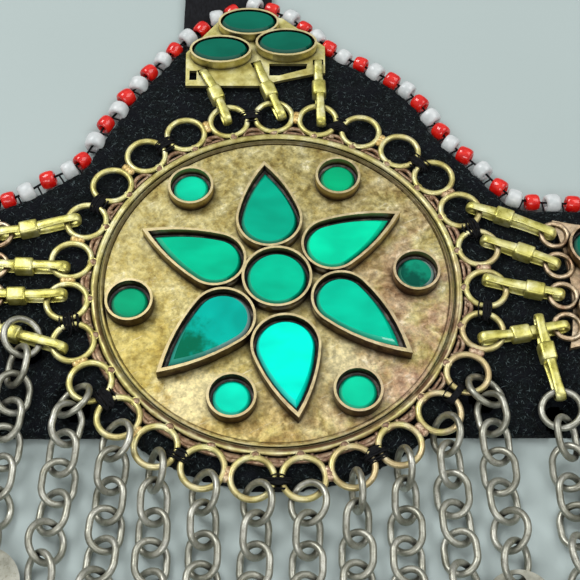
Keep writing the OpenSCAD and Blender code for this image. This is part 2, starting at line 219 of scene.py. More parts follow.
def copper_tarnish(s):
    """Where copper shows: on the right and along the bottom."""
    side = s.span(s.axis("X"), 2 * MM, 26 * MM)
    side = s.times(side, s.span(s.axis("Y"), 18 * MM, 2 * MM, 0.35, 1))
    low = s.span(s.axis("Y"), -10 * MM, -30 * MM, 0, 0.5)
    return s.times(s.plus(side, low), s.span(s.noise(6, 5, 0.6), 0.35, 0.6), True)


def disc_face(s, lines, tarnish):
    """Old brass in brown and yellow blotches, with worn and scored places."""
    blotch = s.noise(3.2, 10, 0.74, warp=0.3)
    brass = s.ramp(
        blotch,
        [
            (0.32, (0.3, 0.21, 0.06)),
            (0.42, (0.46, 0.37, 0.12)),
            (0.51, (0.56, 0.48, 0.2)),
            (0.6, (0.68, 0.61, 0.31)),
            (0.7, (0.9, 0.86, 0.66)),
        ],
    )
    copper = s.ramp(
        blotch,
        [
            (0.32, (0.22, 0.09, 0.05)),
            (0.45, (0.46, 0.28, 0.17)),
            (0.57, (0.64, 0.46, 0.3)),
            (0.68, (0.9, 0.8, 0.64)),
        ],
    )
    disc = s.mix(tarnish, brass, copper)
    # painted light: golden and brighter towards the lower left, where the light falls strongest
    painted_light_lower_left = s.span(s.plus(s.axis("X"), s.axis("Y")), -14 * MM, -32 * MM, 0, 0.8)
    disc = s.mix(painted_light_lower_left, disc, s.mix(1.0, disc, (0.96, 0.89, 0.56), "MULTIPLY"))
    # painted shade: duller and greyer at the top and at the left edge
    top = s.span(s.axis("Y"), 2 * MM, 20 * MM, 0, 0.24)
    left = s.span(s.axis("X"), -14 * MM, -26 * MM, 0, 0.25)
    disc = s.mix(s.plus(top, left, True), disc, s.mix(1.0, disc, (0.45, 0.45, 0.42), "MULTIPLY"))
    ragged = s.times(s.minus(s.noise(3, 6, 0.65), 0.5), 16 * MM)
    for (x, y), reach in PALE_PATCHES:
        away = s.plus(s.distance_to(x, y, PLATE_TOP), ragged)
        worn = s.span(away, (reach + PATCH_SOFT) * MM, (reach - PATCH_SOFT) * MM, 0, 0.6)
        disc = s.mix(worn, disc, (0.86, 0.78, 0.46))
    disc = mottle(s, disc)
    return s.mix(s.span(lines, 0.6, 0.7, 0, 0.4), disc, (0.95, 0.9, 0.7))


def rim(s, disc, tarnish):
    """Adds the rim wires to the disc, the groove between them, and dirt with painted shadow at their
    foot.
    """
    wire = s.ramp(
        s.noise(2.2, 4), [(0.3, (0.42, 0.36, 0.1)), (0.5, (0.66, 0.61, 0.24)), (0.7, (0.86, 0.83, 0.5))]
    )
    # yellow wires on the left, copper ones on the right and at the bottom
    wire = s.mix(s.times(tarnish, 0.55), wire, (0.6, 0.42, 0.3))
    colour = s.mix(s.span(s.radius(), DISC_END * MM, WIRE_START * MM), disc, wire)
    # a red-brown line of old polish, faint at the top
    groove = s.times(s.ring(GROOVE_R, 0.45, 0.2), s.span(s.noise(5, 5, 0.6), 0.38, 0.58, 0.5, 0.95))
    groove = s.times(groove, s.span(s.axis("Y"), 8 * MM, -12 * MM, 0.3, 1))
    colour = s.mix(groove, colour, (0.1, 0.045, 0.02))
    # a dark line of dirt and painted shadow at the wires' foot, faint at the bottom
    wire_foot_shade_and_dirt = s.times(s.ring(CORNER_R, 0.42, 0.15), s.span(s.axis("Y"), -14 * MM, 6 * MM, 0.25, 0.85))
    return s.mix(wire_foot_shade_and_dirt, colour, (0.05, 0.035, 0.015))


def collets(s, colour):
    """Paints shade on the walls, brown and darkest at the foot and on the lower half; paints inner walls
    pale in patches, partly tin and partly painted reflection; paints a highlight on the top edges.
    """
    inside = s.span(s.radius(), WIRE_START * MM, DISC_END * MM)
    peak = s.span(s.axis("Y"), PEAK_FOOT * MM, (PEAK_FOOT + 1) * MM, 0, 0.45)
    wall = s.times(s.upright(), s.plus(inside, peak), True)
    wall = s.times(wall, s.span(s.noise(2.6, 4, 0.6), 0.3, 0.6, 0.82, 1))
    # painted shade on the walls: dark brown at the foot, olive towards the top
    shaded_wall_ramp = s.ramp(
        s.span(s.axis("Z"), 3 * MM, 4.6 * MM),
        [(0.1, (0.04, 0.018, 0.008)), (0.5, (0.16, 0.1, 0.03)), (0.9, (0.34, 0.27, 0.1))],
    )
    # painted shade: darkest on the lower half, the side turned away from the light
    lower = s.span(s.axis("Y"), 9 * MM, -3 * MM)
    lower = s.times(lower, s.span(s.noise(1.8, 4, 0.6), 0.34, 0.54, 0.75, 1))
    colour = s.mix(wall, colour, s.mix(lower, shaded_wall_ramp, (0.035, 0.015, 0.007)))
    # pale inner walls: partly tin, partly painted reflection of light on the walls
    tin_and_reflection = s.times(s.crevice(3.5, 0.48, 0.34), s.upright())
    tin_and_reflection = s.times(tin_and_reflection, s.span(s.axis("Z"), 3.7 * MM, 4.1 * MM))
    tin_and_reflection = s.times(tin_and_reflection, s.span(s.noise(3.4, 3, 0.5), 0.45, 0.55, 0, 0.85))
    colour = s.mix(s.times(tin_and_reflection, inside), colour, (0.52, 0.49, 0.42))
    # painted highlight on the collets' top edges
    top = s.span(s.axis("Z"), COLLET_TOP * MM, (COLLET_TOP + 0.08) * MM)
    top = s.times(top, s.minus(1.0, s.upright()))
    return s.mix(s.times(top, 0.6), colour, (0.66, 0.55, 0.33))


def medallion_brass():
    s = Shader("medallion_brass")
    normal, lines = metal_bump(s, 0.03, 0.05)
    tarnish = copper_tarnish(s)
    colour = collets(s, rim(s, disc_face(s, lines, tarnish), tarnish))
    # dirt and painted shade in corners and at the feet of walls, from ambient occlusion
    dirt_and_shade_mask = s.times(s.crevice(1.2, 0.35, 0.9), s.span(s.noise(0.5, 6, 0.7), 0.28, 0.42, 0.35, 1))
    colour = s.mix(dirt_and_shade_mask, DIRT_AND_SHADE, colour)
    rough = s.span(s.noise(1.6, 6, 0.7), 0.3, 0.7, 0.32, 0.6)
    return s.set(Base_Color=colour, Metallic=0.8, Roughness=rough, Normal=normal).material


def sheet_brass():
    s = Shader("plate_brass")
    normal, lines = metal_bump(s, 0.03, 0.08)
    blotch = s.noise(4.5, 7, 0.62, warp=0.5)
    colour = s.ramp(
        blotch,
        [
            (0.3, (0.3, 0.17, 0.1)),
            (0.46, (0.56, 0.42, 0.26)),
            (0.58, (0.7, 0.56, 0.38)),
            (0.7, (0.84, 0.76, 0.58)),
        ],
    )
    colour = mottle(s, colour)
    colour = s.mix(s.span(lines, 0.6, 0.72, 0, 0.3), colour, (0.9, 0.84, 0.7))
    # painted shade: walls darkened to brown
    wall = s.times(s.upright(), s.span(s.axis("Z"), 3.1 * MM, 3.3 * MM, 0, 0.8))
    colour = s.mix(wall, colour, (0.13, 0.075, 0.02))
    # dirt and painted shade in corners, from ambient occlusion
    colour = s.mix(s.crevice(1.1, 0.35, 0.9), DIRT_AND_SHADE, colour)
    rough = s.span(s.noise(1.6, 6, 0.7), 0.3, 0.7, 0.28, 0.55)
    return s.set(Base_Color=colour, Metallic=0.85, Roughness=rough, Normal=normal).material


def link_brass():
    s = Shader("link_brass")
    normal, lines = metal_bump(s, 0.03, 0.12)
    colour = s.ramp(
        s.noise(2.4, 5, 0.6),
        [
            (0.3, (0.4, 0.36, 0.06)),
            (0.48, (0.64, 0.6, 0.17)),
            (0.62, (0.8, 0.77, 0.36)),
            (0.72, (0.95, 0.93, 0.62)),
        ],
    )
    colour = s.mix(s.span(lines, 0.6, 0.74, 0, 0.35), colour, (0.95, 0.93, 0.66))
    # dirt and painted shade in the links' corners and folds, from ambient occlusion
    colour = s.mix(s.crevice(0.9, 0.25, 0.8), (0.05, 0.03, 0.01), colour)
    rough = s.span(s.noise(1.2, 5, 0.7), 0.3, 0.7, 0.25, 0.5)
    return s.set(Base_Color=colour, Metallic=0.75, Roughness=rough, Normal=normal).material


def chain_metal():
    s = Shader("chain_metal")
    normal, lines = metal_bump(s, 0.02, 0.05)
    colour = s.ramp(
        s.noise(3.4, 4, 0.55),
        [(0.3, (0.27, 0.27, 0.215)), (0.5, (0.43, 0.43, 0.36)), (0.7, (0.6, 0.6, 0.53))],
    )
    fine = s.span(s.noise(0.5, 5, 0.7), 0.52, 0.68, 0, 0.6)
    colour = s.mix(fine, colour, (0.2, 0.18, 0.12))
    # dirt and painted shade where the links cross and touch, from ambient occlusion
    colour = s.mix(s.crevice(1.3, 0.3, 0.9), (0.03, 0.026, 0.02), colour)
    rough = s.span(s.noise(0.9, 5, 0.7), 0.3, 0.7, 0.32, 0.56)
    return s.set(Base_Color=colour, Metallic=0.9, Roughness=rough, Normal=normal).material


# Half width of a dark patch's soft edge
DARK_SOFT = 2.5


def green_glass(name, green, dark=None, turn=0.0, reach=0.0):
    """Glass over a green foil: the foil's soft wrinkles under a clear coat.

    dark is the colour of a patch that starts at the distance reach along the turned axis.
    """
    s = Shader("glass_" + name)
    deep = tuple(c * 0.82 for c in green)
    light = tuple(min(1.0, c * 1.08) for c in green)
    wrinkle = s.noise(4.5, 2, 0.45, (1.6, 1, 1), turn, 0.2)
    colour = s.ramp(wrinkle, [(0.34, deep), (0.64, light)])
    if dark:
        wave = s.times(s.minus(s.noise(2.6, 3, 0.6), 0.5), 14 * MM)
        start, end = (reach - DARK_SOFT) * MM, (reach + DARK_SOFT) * MM
        colour = s.mix(s.span(s.plus(s.along(turn), wave), start, end, 0, 0.85), colour, dark)
    # painted shade: the glass darker near the collet walls
    edge = s.crevice(1.1, 0.3, 0.8)
    colour = s.mix(edge, tuple(c * 0.1 for c in green), colour)
    slope = s.node("ShaderNodeSeparateXYZ", {0: s.facing})
    bevel = s.span(slope.outputs["Z"], 0.95, 0.8)
    # painted highlight: lighter green on the bevels on the lower left, and a pale painted glint on those
    # on the right
    lower_left = s.plus(slope.outputs["X"], slope.outputs["Y"])
    bevel_highlight = s.times(bevel, s.span(lower_left, -0.15, -0.5, 0, 0.55))
    colour = s.mix(bevel_highlight, colour, tuple(min(1.0, c * 1.2 + 0.08) for c in green))
    if dark:
        right_bevel_glint = s.times(bevel, s.span(slope.outputs["X"], 0.2, 0.45, 0, 0.7))
        colour = s.mix(right_bevel_glint, colour, (0.4, 0.58, 0.55))
    return s.set(
        Base_Color=colour,
        Roughness=0.5,
        Specular_IOR_Level=0.0,
        Normal=s.bump(wrinkle, 0.08),
        Coat_Weight=s.plus(s.times(bevel, 0.75), 0.2),
        Coat_Roughness=0.06,
        Coat_IOR=1.6,
    ).material


def felt():
    s = Shader("black_felt")
    nap = s.noise(0.3, 6, 0.75)
    lump = s.noise(2.6, 4, 0.6)
    colour = s.ramp(
        nap,
        [
            (0.4, (0.002, 0.0025, 0.003)),
            (0.53, (0.004, 0.006, 0.0065)),
            (0.62, (0.014, 0.021, 0.022)),
            (0.74, (0.06, 0.088, 0.09)),
        ],
    )
    colour = s.mix(s.span(lump, 0.4, 0.62, 0, 0.75), colour, (0.005, 0.006, 0.009))
    return s.set(
        Base_Color=colour,
        Roughness=0.95,
        Normal=s.bump(nap, 0.22, 0.9, s.bump(lump, 0.6)),
        Specular_IOR_Level=0.05,
        Sheen_Weight=0.04,
        Sheen_Roughness=0.5,
    ).material


def strap_cloth():
    s = Shader("strap_cloth")
    grain = s.noise(0.35, 5, 0.7, (1, 3, 1))
    colour = s.ramp(grain, [(0.35, (0.002, 0.002, 0.003)), (0.7, (0.011, 0.012, 0.015))])
    return s.set(
        Base_Color=colour, Roughness=0.85, Normal=s.bump(grain, 0.06), Specular_IOR_Level=0.2
    ).material


def fibre():
    s = Shader("felt_fibre")
    colour = s.ramp(
        s.noise(0.7, 2),
        [(0.38, (0.004, 0.005, 0.006)), (0.5, (0.02, 0.03, 0.031)), (0.62, (0.11, 0.15, 0.155))],
    )
    return s.set(Base_Color=colour, Roughness=0.8, Specular_IOR_Level=0.2).material


def thread():
    s = Shader("black_thread")
    colour = s.ramp(s.noise(0.4, 3), [(0.35, (0.0015, 0.0015, 0.002)), (0.7, (0.009, 0.01, 0.012))])
    return s.set(Base_Color=colour, Roughness=0.8, Specular_IOR_Level=0.2).material


def red_bead():
    s = Shader("red_bead")
    colour = s.ramp(s.noise(1.6, 3), [(0.35, (0.72, 0.004, 0.004)), (0.65, (1.0, 0.03, 0.015))])
    return s.set(
        Base_Color=colour,
        Roughness=0.08,
        Transmission_Weight=0.2,
        IOR=1.5,
        Normal=s.bump(s.noise(0.8, 2), 0.03),
        Coat_Weight=0.4,
    ).material


def milk_bead():
    s = Shader("milk_bead")
    colour = s.ramp(s.noise(1.4, 3), [(0.35, (0.68, 0.73, 0.73)), (0.65, (0.85, 0.88, 0.88))])
    return s.set(
        Base_Color=colour,
        Roughness=0.14,
        Transmission_Weight=0.22,
        IOR=1.4,
        Normal=s.bump(s.noise(0.8, 2), 0.03),
    ).material


def solder():
    s = Shader("solder_patina")
    spots = s.noise(0.9, 5, 0.65)
    yellow = s.ramp(
        spots,
        [
            (0.3, (0.24, 0.13, 0.04)),
            (0.45, (0.58, 0.4, 0.13)),
            (0.58, (0.8, 0.62, 0.3)),
            (0.72, (0.88, 0.78, 0.5)),
        ],
    )
    copper = s.ramp(
        spots,
        [
            (0.3, (0.1, 0.045, 0.03)),
            (0.45, (0.36, 0.22, 0.14)),
            (0.58, (0.6, 0.45, 0.3)),
            (0.72, (0.8, 0.7, 0.5)),
        ],
    )
    side = s.span(s.plus(s.axis("X"), s.times(s.axis("Y"), -0.7)), -6 * MM, 26 * MM)
    near_rim = s.span(s.radius(), 32.4 * MM, 31.6 * MM, 0, 0.85)
    colour = s.mix(s.maths("MAXIMUM", side, near_rim), yellow, copper)
    colour = s.mix(s.times(near_rim, 0.6), colour, (0.12, 0.06, 0.035))
    rough = s.span(s.noise(0.6, 4), 0.3, 0.7, 0.3, 0.6)
    normal = s.bump(s.noise(0.5, 4), 0.08)
    return s.set(Base_Color=colour, Metallic=0.7, Roughness=rough, Normal=normal).material


def pitch():
    s = Shader("dark_pitch")
    colour = s.ramp(
        s.noise(1.8, 4, 0.6),
        [(0.4, (0.009, 0.007, 0.005)), (0.55, (0.04, 0.032, 0.024)), (0.7, (0.22, 0.19, 0.14))],
    )
    return s.set(Base_Color=colour, Roughness=0.5, Normal=s.bump(s.noise(0.5, 4), 0.1)).material


def tabletop():
    s = Shader("table")
    colour = s.ramp(s.noise(140, 3), [(0.3, (0.4, 0.475, 0.465)), (0.7, (0.44, 0.515, 0.505))])
    return s.set(Base_Color=colour, Roughness=0.7, Specular_IOR_Level=0.25).material


BRASS = medallion_brass()
PLATE = sheet_brass()
LINK = link_brass()
CHAIN = chain_metal()
THREAD = thread()
SOLDER = solder()
PITCH = pitch()

# Colours of the foil under the stones; the brightness of each is partly the foil's own and partly painted
# light, set stone by stone to how light falls on it
STONE_GREENS = {
    "centre_stone": (0.0, 0.52, 0.297),
    "petal_stone_1": (0.0, 0.38, 0.23),
    "petal_stone_2": (0.0, 0.7, 0.38),
    "petal_stone_3": (0.0, 0.545, 0.33),
    "petal_stone_4": (0.0, 0.89, 0.66),
    "petal_stone_5": (0.0, 0.42, 0.33),
    "petal_stone_6": (0.0, 0.52, 0.28),
    "round_stone_1": (0.003, 0.63, 0.366),
    "round_stone_2": (0.0, 0.42, 0.18),
    "round_stone_3": (0.004, 0.28, 0.165),
    "round_stone_4": (0.003, 0.68, 0.38),
    "round_stone_5": (0.003, 0.81, 0.536),
    "round_stone_6": (0.003, 0.4, 0.186),
}
DARK_GREEN = (0.002, 0.135, 0.085)

# Dark patches under two stones, as the colour and where they start along the turned axis
DARK_PATCHES = {"petal_stone_5": ((0.0, 0.1, 0.032), 16.5), "round_stone_3": ((0.0, 0.05, 0.035), -17)}
DARK_TURN = math.radians(-135)


def look_of(name):
    if "stone" in name:
        green = STONE_GREENS.get(name, DARK_GREEN)
        if name in DARK_PATCHES:
            dark, reach = DARK_PATCHES[name]
            return green_glass(name, green, dark, DARK_TURN, reach)
        return green_glass(name, green)
    if "link" in name:
        return LINK
    if name.startswith("chain"):
        return CHAIN
    return BRASS if name in ("medallion_mount", "peak_mount") else PLATE


SMOOTH_ANGLE = math.radians(32)
for name, node in nodes.items():
    if name in ("felt_backing", "head_strap"):
        continue
    node.data.materials.clear()
    node.data.materials.append(look_of(name))
    node.data.shade_smooth()
    node.data.set_sharp_from_angle(angle=SMOOTH_ANGLE)


# Mesh helpers

# Lowest height of the soft pieces over the table
FLOOR_GAP = 0.02
# Spacing of the soft pieces' new mesh, and the rounds of smoothing on it
VOXEL, SOFTENING = 0.5, 4


class Shape:
    """Vertices and faces of one piece, in millimetres."""

    def __init__(self):
        self.verts = []
        self.faces = []

    def add(self, verts, faces):
        start = len(self.verts)
        self.verts.extend(verts)
        self.faces.extend(tuple(i + start for i in face) for face in faces)

    def build(self, name, material, slot):
        mesh = bpy.data.meshes.new(name)
        mesh.from_pydata([Vector(v) * MM for v in self.verts], [], self.faces)
        mesh.validate()
        return piece(name, mesh, material)


def piece(name, mesh, material):
    mesh.materials.clear()
    mesh.materials.append(material)
    mesh.shade_smooth()
    obj = bpy.data.objects.new(name, mesh)
    bpy.context.scene.collection.objects.link(obj)
    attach(obj, "root")
    return obj


def up(z):
    return Vector((0, 0, z))


def left_of(way):
    """The level direction a quarter turn to the left."""
    return Vector((-way.y, way.x, 0))


def ring_faces(rings, sides, closed=False, flip=False):
    """Four-sided faces from each ring of vertices to the next; closed joins the last to the first."""
    faces = []
    for i in range(rings if closed else rings - 1):
        here, there = i * sides, (i + 1) % rings * sides
        for k in range(sides):
            m = (k + 1) % sides
            round_it, to_next = here + m, there + k
            second, last = (to_next, round_it) if flip else (round_it, to_next)
            faces.append((here + k, second, there + m, last))
    return faces


def end_faces(rings, sides):
    """Faces that close the first and the last ring."""
    last = (rings - 1) * sides
    return [tuple(range(sides - 1, -1, -1)), tuple(range(last, last + sides))]


def tube(points, radius, sides=8, closed=False):
    """A round wire along the points; radius is a number or a function from 0 to 1 along it."""
    points = [Vector(p) for p in points]
    count = len(points)
    verts = []
    normal = None
    for i, here in enumerate(points):
        before = points[i - 1] if closed or i > 0 else here
        after = points[(i + 1) % count] if closed or i < count - 1 else here
        way = (after - before).normalized()
        normal = way.orthogonal() if normal is None else normal - way * normal.dot(way)
        normal.normalize()
        side = way.cross(normal)
        r = radius(i / (count - 1)) if callable(radius) else radius
        for k in range(sides):
            a = 2 * math.pi * k / sides
            verts.append(here + (normal * math.cos(a) + side * math.sin(a)) * r)
    ends = [] if closed else end_faces(count, sides)
    return verts, ring_faces(count, sides, closed) + ends


def polar(r, degrees, z=0.0):
    a = math.radians(degrees)
    return Vector((r * math.cos(a), r * math.sin(a), z))


def blob(centre, size, seed):
    """A lump of solder: a ball pushed in and out by noise. size is its three half axes."""
    ball = bmesh.new()
    bmesh.ops.create_icosphere(ball, subdivisions=2, radius=1)
    verts = []
    for v in ball.verts:
        bulge = 1 + 0.28 * noise.noise(v.co * 1.7 + Vector((seed, seed * 0.7, 0)))
        verts.append(Vector(v.co[i] * size[i] * bulge for i in range(3)) + centre)
    faces = [tuple(v.index for v in f.verts) for f in ball.faces]
    ball.free()
    return verts, faces


def remeshed(node_name, push):
    """A copy of a CAD node's mesh, evenly meshed, with soft edges and a surface moved by push."""
    source = nodes[node_name]
    copy = bpy.data.objects.new("remesh_" + node_name, source.data.copy())
    bpy.context.scene.collection.objects.link(copy)
    even = copy.modifiers.new("even", "REMESH")
    even.mode = "VOXEL"
    even.voxel_size = VOXEL * MM
    soft = copy.modifiers.new("soft", "SMOOTH")
    soft.iterations = SOFTENING
    soft.factor = 0.5
    graph = bpy.context.evaluated_depsgraph_get()
    mesh = bpy.data.meshes.new_from_object(copy.evaluated_get(graph))
    bpy.data.objects.remove(copy)
    mesh.update()
    normals = [v.normal.copy() for v in mesh.vertices]
    for v, normal in zip(mesh.vertices, normals):
        v.co += normal * push(v.co / MM) * MM
        v.co.z = max(v.co.z, FLOOR_GAP * MM)
    mesh.update()
    return mesh


# Felt and strap

# Height of the felt's flat underside, and the height from which it has loose fibres
FLAT_BELOW, FIBRES_ABOVE = 0.3, 0.4
FIBRES = 26000


def felt_push(p):
    """Lumps and nap of the felt; the underside stays flat on the table."""
    if p.z < FLAT_BELOW:
        return 0.0
    lump = 0.16 * noise.noise(p * 0.28) + 0.09 * noise.noise(p * 0.9)
    return lump + 0.05 * noise.noise(p * 2.6) - 0.08


felt_mesh = remeshed("felt_backing", felt_push)
felt_piece = piece("felt", felt_mesh, felt())
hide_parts("felt_backing")

strap_mesh = remeshed("head_strap", lambda p: 0.04 * noise.noise(p * 0.6))
strap_piece = piece("strap", strap_mesh, strap_cloth())
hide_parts("head_strap")


def nap():
    """Short loose fibres that stand out of the felt's face and edges."""
    rng = random.Random(11)
    fibres = Shape()
    faces = [f for f in felt_mesh.polygons if f.center.z > FIBRES_ABOVE * MM]
    for face in rng.sample(faces, min(len(faces), FIBRES)):
        root = face.center / MM - face.normal * 0.05
        way = Vector((rng.uniform(-1, 1), rng.uniform(-1, 1), rng.uniform(0.0, 0.25)))
        way = (way - face.normal * way.dot(face.normal)).normalized()
        side = way.cross(face.normal) * rng.uniform(0.014, 0.034)
        bend = side.normalized() * rng.uniform(-0.3, 0.3)
        length = rng.uniform(0.5, 1.5)
        lift = face.normal * rng.uniform(0.05, 0.26)
        middle = root + way * length * 0.5 + lift + bend * 0.3
        points = [root, middle, root + way * length + lift * 0.5 + bend]
        for p in points:
            p.z = max(p.z, 2 * FLOOR_GAP)
        verts = [points[0] - side, points[0] + side, points[1] - side, points[1] + side, points[2]]
        for v in verts:
            v.z = max(v.z, FLOOR_GAP)
        fibres.add(verts, [(0, 1, 3, 2), (2, 3, 4)])
    return fibres.build("felt_nap", fibre(), "felt")


nap()


# Seed beads

# The felt's upper edge from left to right
EDGE = [
    (-84, 14.8), (-46.5, 14.8), (-41.6, 17.4), (-37, 20.4), (-33.2, 23), (-31.2, 28), (-28.2, 33.8),
    (-23.6, 42), (-17.8, 50), (-11, 56.5), (-5, 60), (1.5, 57.2), (8.8, 49.8), (17, 44.5),
    (21.6, 41), (25, 36.6), (27, 31.8), (31, 26), (35.2, 21), (38.6, 16.6), (42, 14.8), (84, 14.8),
]  # fmt: skip
# Step from bead to bead, and how far their middles stand outside the edge
BEAD_PITCH, BEAD_OUT = 3.42, 1.25
BEAD_L, BEAD_HOLE = 2.5, 0.42
RED_R, MILK_R = 1.5, 1.66
# Where the row of beads starts, and how much of the edge stays free at its end
ROW_START, ROW_END = 1.9, 2
# The thread is slack where the edge turns, between these distances from the middle
SLACK_FROM, SLACK_TO, SLACK = 30, 43, 1.22
# Radius of the thread through the beads and of the stitches that hold it
EDGE_THREAD, STITCH_THREAD = 0.2, 0.17
# Where the stitches go into the felt
STITCH_IN, STITCH_Z = 1.3, 1.5


def along(points, distance):
    """The place and direction at a distance along a line of points."""
    for a, b in zip(points, points[1:]):
        a, b = Vector((*a, 0)), Vector((*b, 0))
        length = (b - a).length
        if distance <= length:
            return a.lerp(b, distance / length), (b - a).normalized()
        distance -= length
    return b, (b - a).normalized()


def bead(centre, axis, length, radius, hole):
    """A rounded seed bead with its hole along the axis."""
    turns, sides = 20, 12
    flat = 0.75
    middle, wall = (radius + hole) / 2, (radius - hole) / 2
    normal = axis.orthogonal().normalized()
    other = axis.cross(normal)
    verts = []
    for i in range(turns):
        a = 2 * math.pi * i / turns
        out = normal * math.cos(a) + other * math.sin(a)
        for j in range(sides):
            t = 2 * math.pi * j / sides
            c, s = math.cos(t), math.sin(t)
            r = middle + wall * math.copysign(abs(c) ** flat, c)
            x = length / 2 * math.copysign(abs(s) ** flat, s)
            verts.append(centre + out * r + axis * x)
    return verts, ring_faces(turns, sides, closed=True, flip=True)


def beaded_edge():
    """Red and milky beads in turn along the felt's upper edge, and the threads that hold them."""
    rng = random.Random(5)
    red, milk, threads = Shape(), Shape(), Shape()
    total = sum((Vector(b) - Vector(a)).length for a, b in zip(EDGE, EDGE[1:]))
    centres = []
    distance = ROW_START
    while distance < total - ROW_END:
        is_red = len(centres) % 2 == 1
        here, way = along(EDGE, distance)
        slack = SLACK if SLACK_FROM < abs(here.x) < SLACK_TO else 1.0
        distance += BEAD_PITCH * slack * rng.uniform(0.95, 1.06)
        out = left_of(way)
        size = rng.uniform(0.94, 1.06)
        radius = (RED_R if is_red else MILK_R) * size
        shift = BEAD_OUT + rng.uniform(-0.25, 0.35) + (0.2 if is_red else 0.0)
        centre = here + out * shift + up(radius + 0.05 + rng.uniform(0, 0.35))
        tilt = rng.uniform(-0.35, 0.35)
        axis = way * math.cos(tilt) + out * math.sin(tilt) + up(rng.uniform(-0.2, 0.2))
        beads = red if is_red else milk
        beads.add(*bead(centre, axis.normalized(), BEAD_L * size, radius, BEAD_HOLE))
        centres.append((centre, out))
    threads.add(*tube([centre + up(0.05) for centre, _ in centres], EDGE_THREAD, 6))
    for (a, out), (b, _) in zip(centres, centres[1:]):
        middle = (a + b) / 2
        down = middle - out * (BEAD_OUT + STITCH_IN)
        down.z = STITCH_Z
        lifted = middle.lerp(down, 0.5) + up(0.35)
        threads.add(*tube([middle, lifted, down], STITCH_THREAD, 6))
    red.build("red_beads", red_bead(), "dark_glass")
    milk.build("milky_beads", milk_bead(), "glass")
    threads.build("edge_threads", THREAD, "felt")


beaded_edge()


# Threads and solder round the medallion

LOOPS = 27
LOOP_START = 91
# Turn of each loop from its even place, in degrees
LOOP_TURNS = [
    0, 0, 0, 0, 0, 0, 0, 0, 0, -0.3, -0.8, -1.4, -1.5, -1,
    -0.5, 0, 0, 0.5, 1, 1.5, 2, 2.2, 2.2, 1.6, 0.9, 0.5, 0.2,
]  # fmt: skip
LOOP_RING = 33.7
# The loops whose joint with the next loop is sewn; the other joints are only soldered
SEWN = (1, 3, 5, 7, 9, 11, 13, 15, 17, 19, 22, 24, 26)
RIM_R = 30
WIRE_Z = 3.15
# Half width and half height of the windings, and how far they spread from the joint's middle
BOUND_WIDE, BOUND_HIGH, BOUND_OUT = 1.35, 0.58, 1.4
BOUND_POINTS = 14
# Height at which the ends of the thread go into the felt
SEWN_Z = 1.75


def loop_angle(k):
    return LOOP_START - 360 / LOOPS * k + LOOP_TURNS[k % LOOPS]


def bindings():
    """Black thread wound round two neighbouring loops and sewn into the felt, at every second joint."""
    rng = random.Random(3)
    threads = Shape()
    for k in SEWN:
        angle = (loop_angle(k) + loop_angle(k + 1)) / 2
        out = polar(1, angle)
        side = left_of(out)
        middle = polar(LOOP_RING + rng.uniform(-0.5, 0.5), angle, WIRE_Z)
        turns = rng.choice((12, 14, 17, 20))
        for t in range(turns):
            spread = rng.gauss(0, 0.55)
            at = middle + out * max(-BOUND_OUT, min(BOUND_OUT, spread))
            lean = rng.uniform(-0.7, 0.7)
            wide = BOUND_WIDE + rng.uniform(-0.3, 0.6)
            high = BOUND_HIGH + rng.uniform(0, 0.3) * (1 - abs(spread) / 2)
            points = []
            for j in range(BOUND_POINTS):
                a = 2 * math.pi * j / BOUND_POINTS
                rise = up(high * math.sin(a) - 0.05)
                points.append(at + side * wide * math.cos(a) + rise + out * lean * math.sin(a))
            threads.add(*tube(points, rng.uniform(0.1, 0.15), 5, closed=True))
        for sign in (-1, 1):
            for _ in range(2):
                start = middle + side * sign * 1.1 + up(0.35)
                foot = middle + side * sign * rng.uniform(1.1, 2.1) + out * rng.uniform(-1.4, 1.4)
                foot.z = SEWN_Z
                knee = (start + foot) / 2 + side * sign * 0.5
                threads.add(*tube([start, knee, foot], 0.13, 5))
    return threads.build("loop_threads", THREAD, "felt")


SEAM_TURNS, SEAM_SIDES = 240, 8
# Direction in which the seam of solder is heaviest, in degrees
HEAVY_AT = -125
CURL_POINTS = 13


def solder_seam():
    """An uneven seam of solder outside the rim, heavier at the bottom left."""
    verts = []
    for i in range(SEAM_TURNS):
        angle = 360 * i / SEAM_TURNS
        heavy = max(0, math.cos(math.radians(angle - HEAVY_AT)))
        wave = noise.noise(Vector((i * 0.21, 3.3, 0)))
        here = polar(RIM_R + 0.55 + 0.25 * heavy + 0.12 * wave, angle, WIRE_Z - 0.5)
        r = 0.3 + 0.42 * heavy + 0.16 * wave
        out = polar(1, angle)
        for j in range(SEAM_SIDES):
            b = 2 * math.pi * j / SEAM_SIDES
            verts.append(here + out * r * math.cos(b) + up(r * 0.7 * math.sin(b)))
    return verts, ring_faces(SEAM_TURNS, SEAM_SIDES, closed=True)


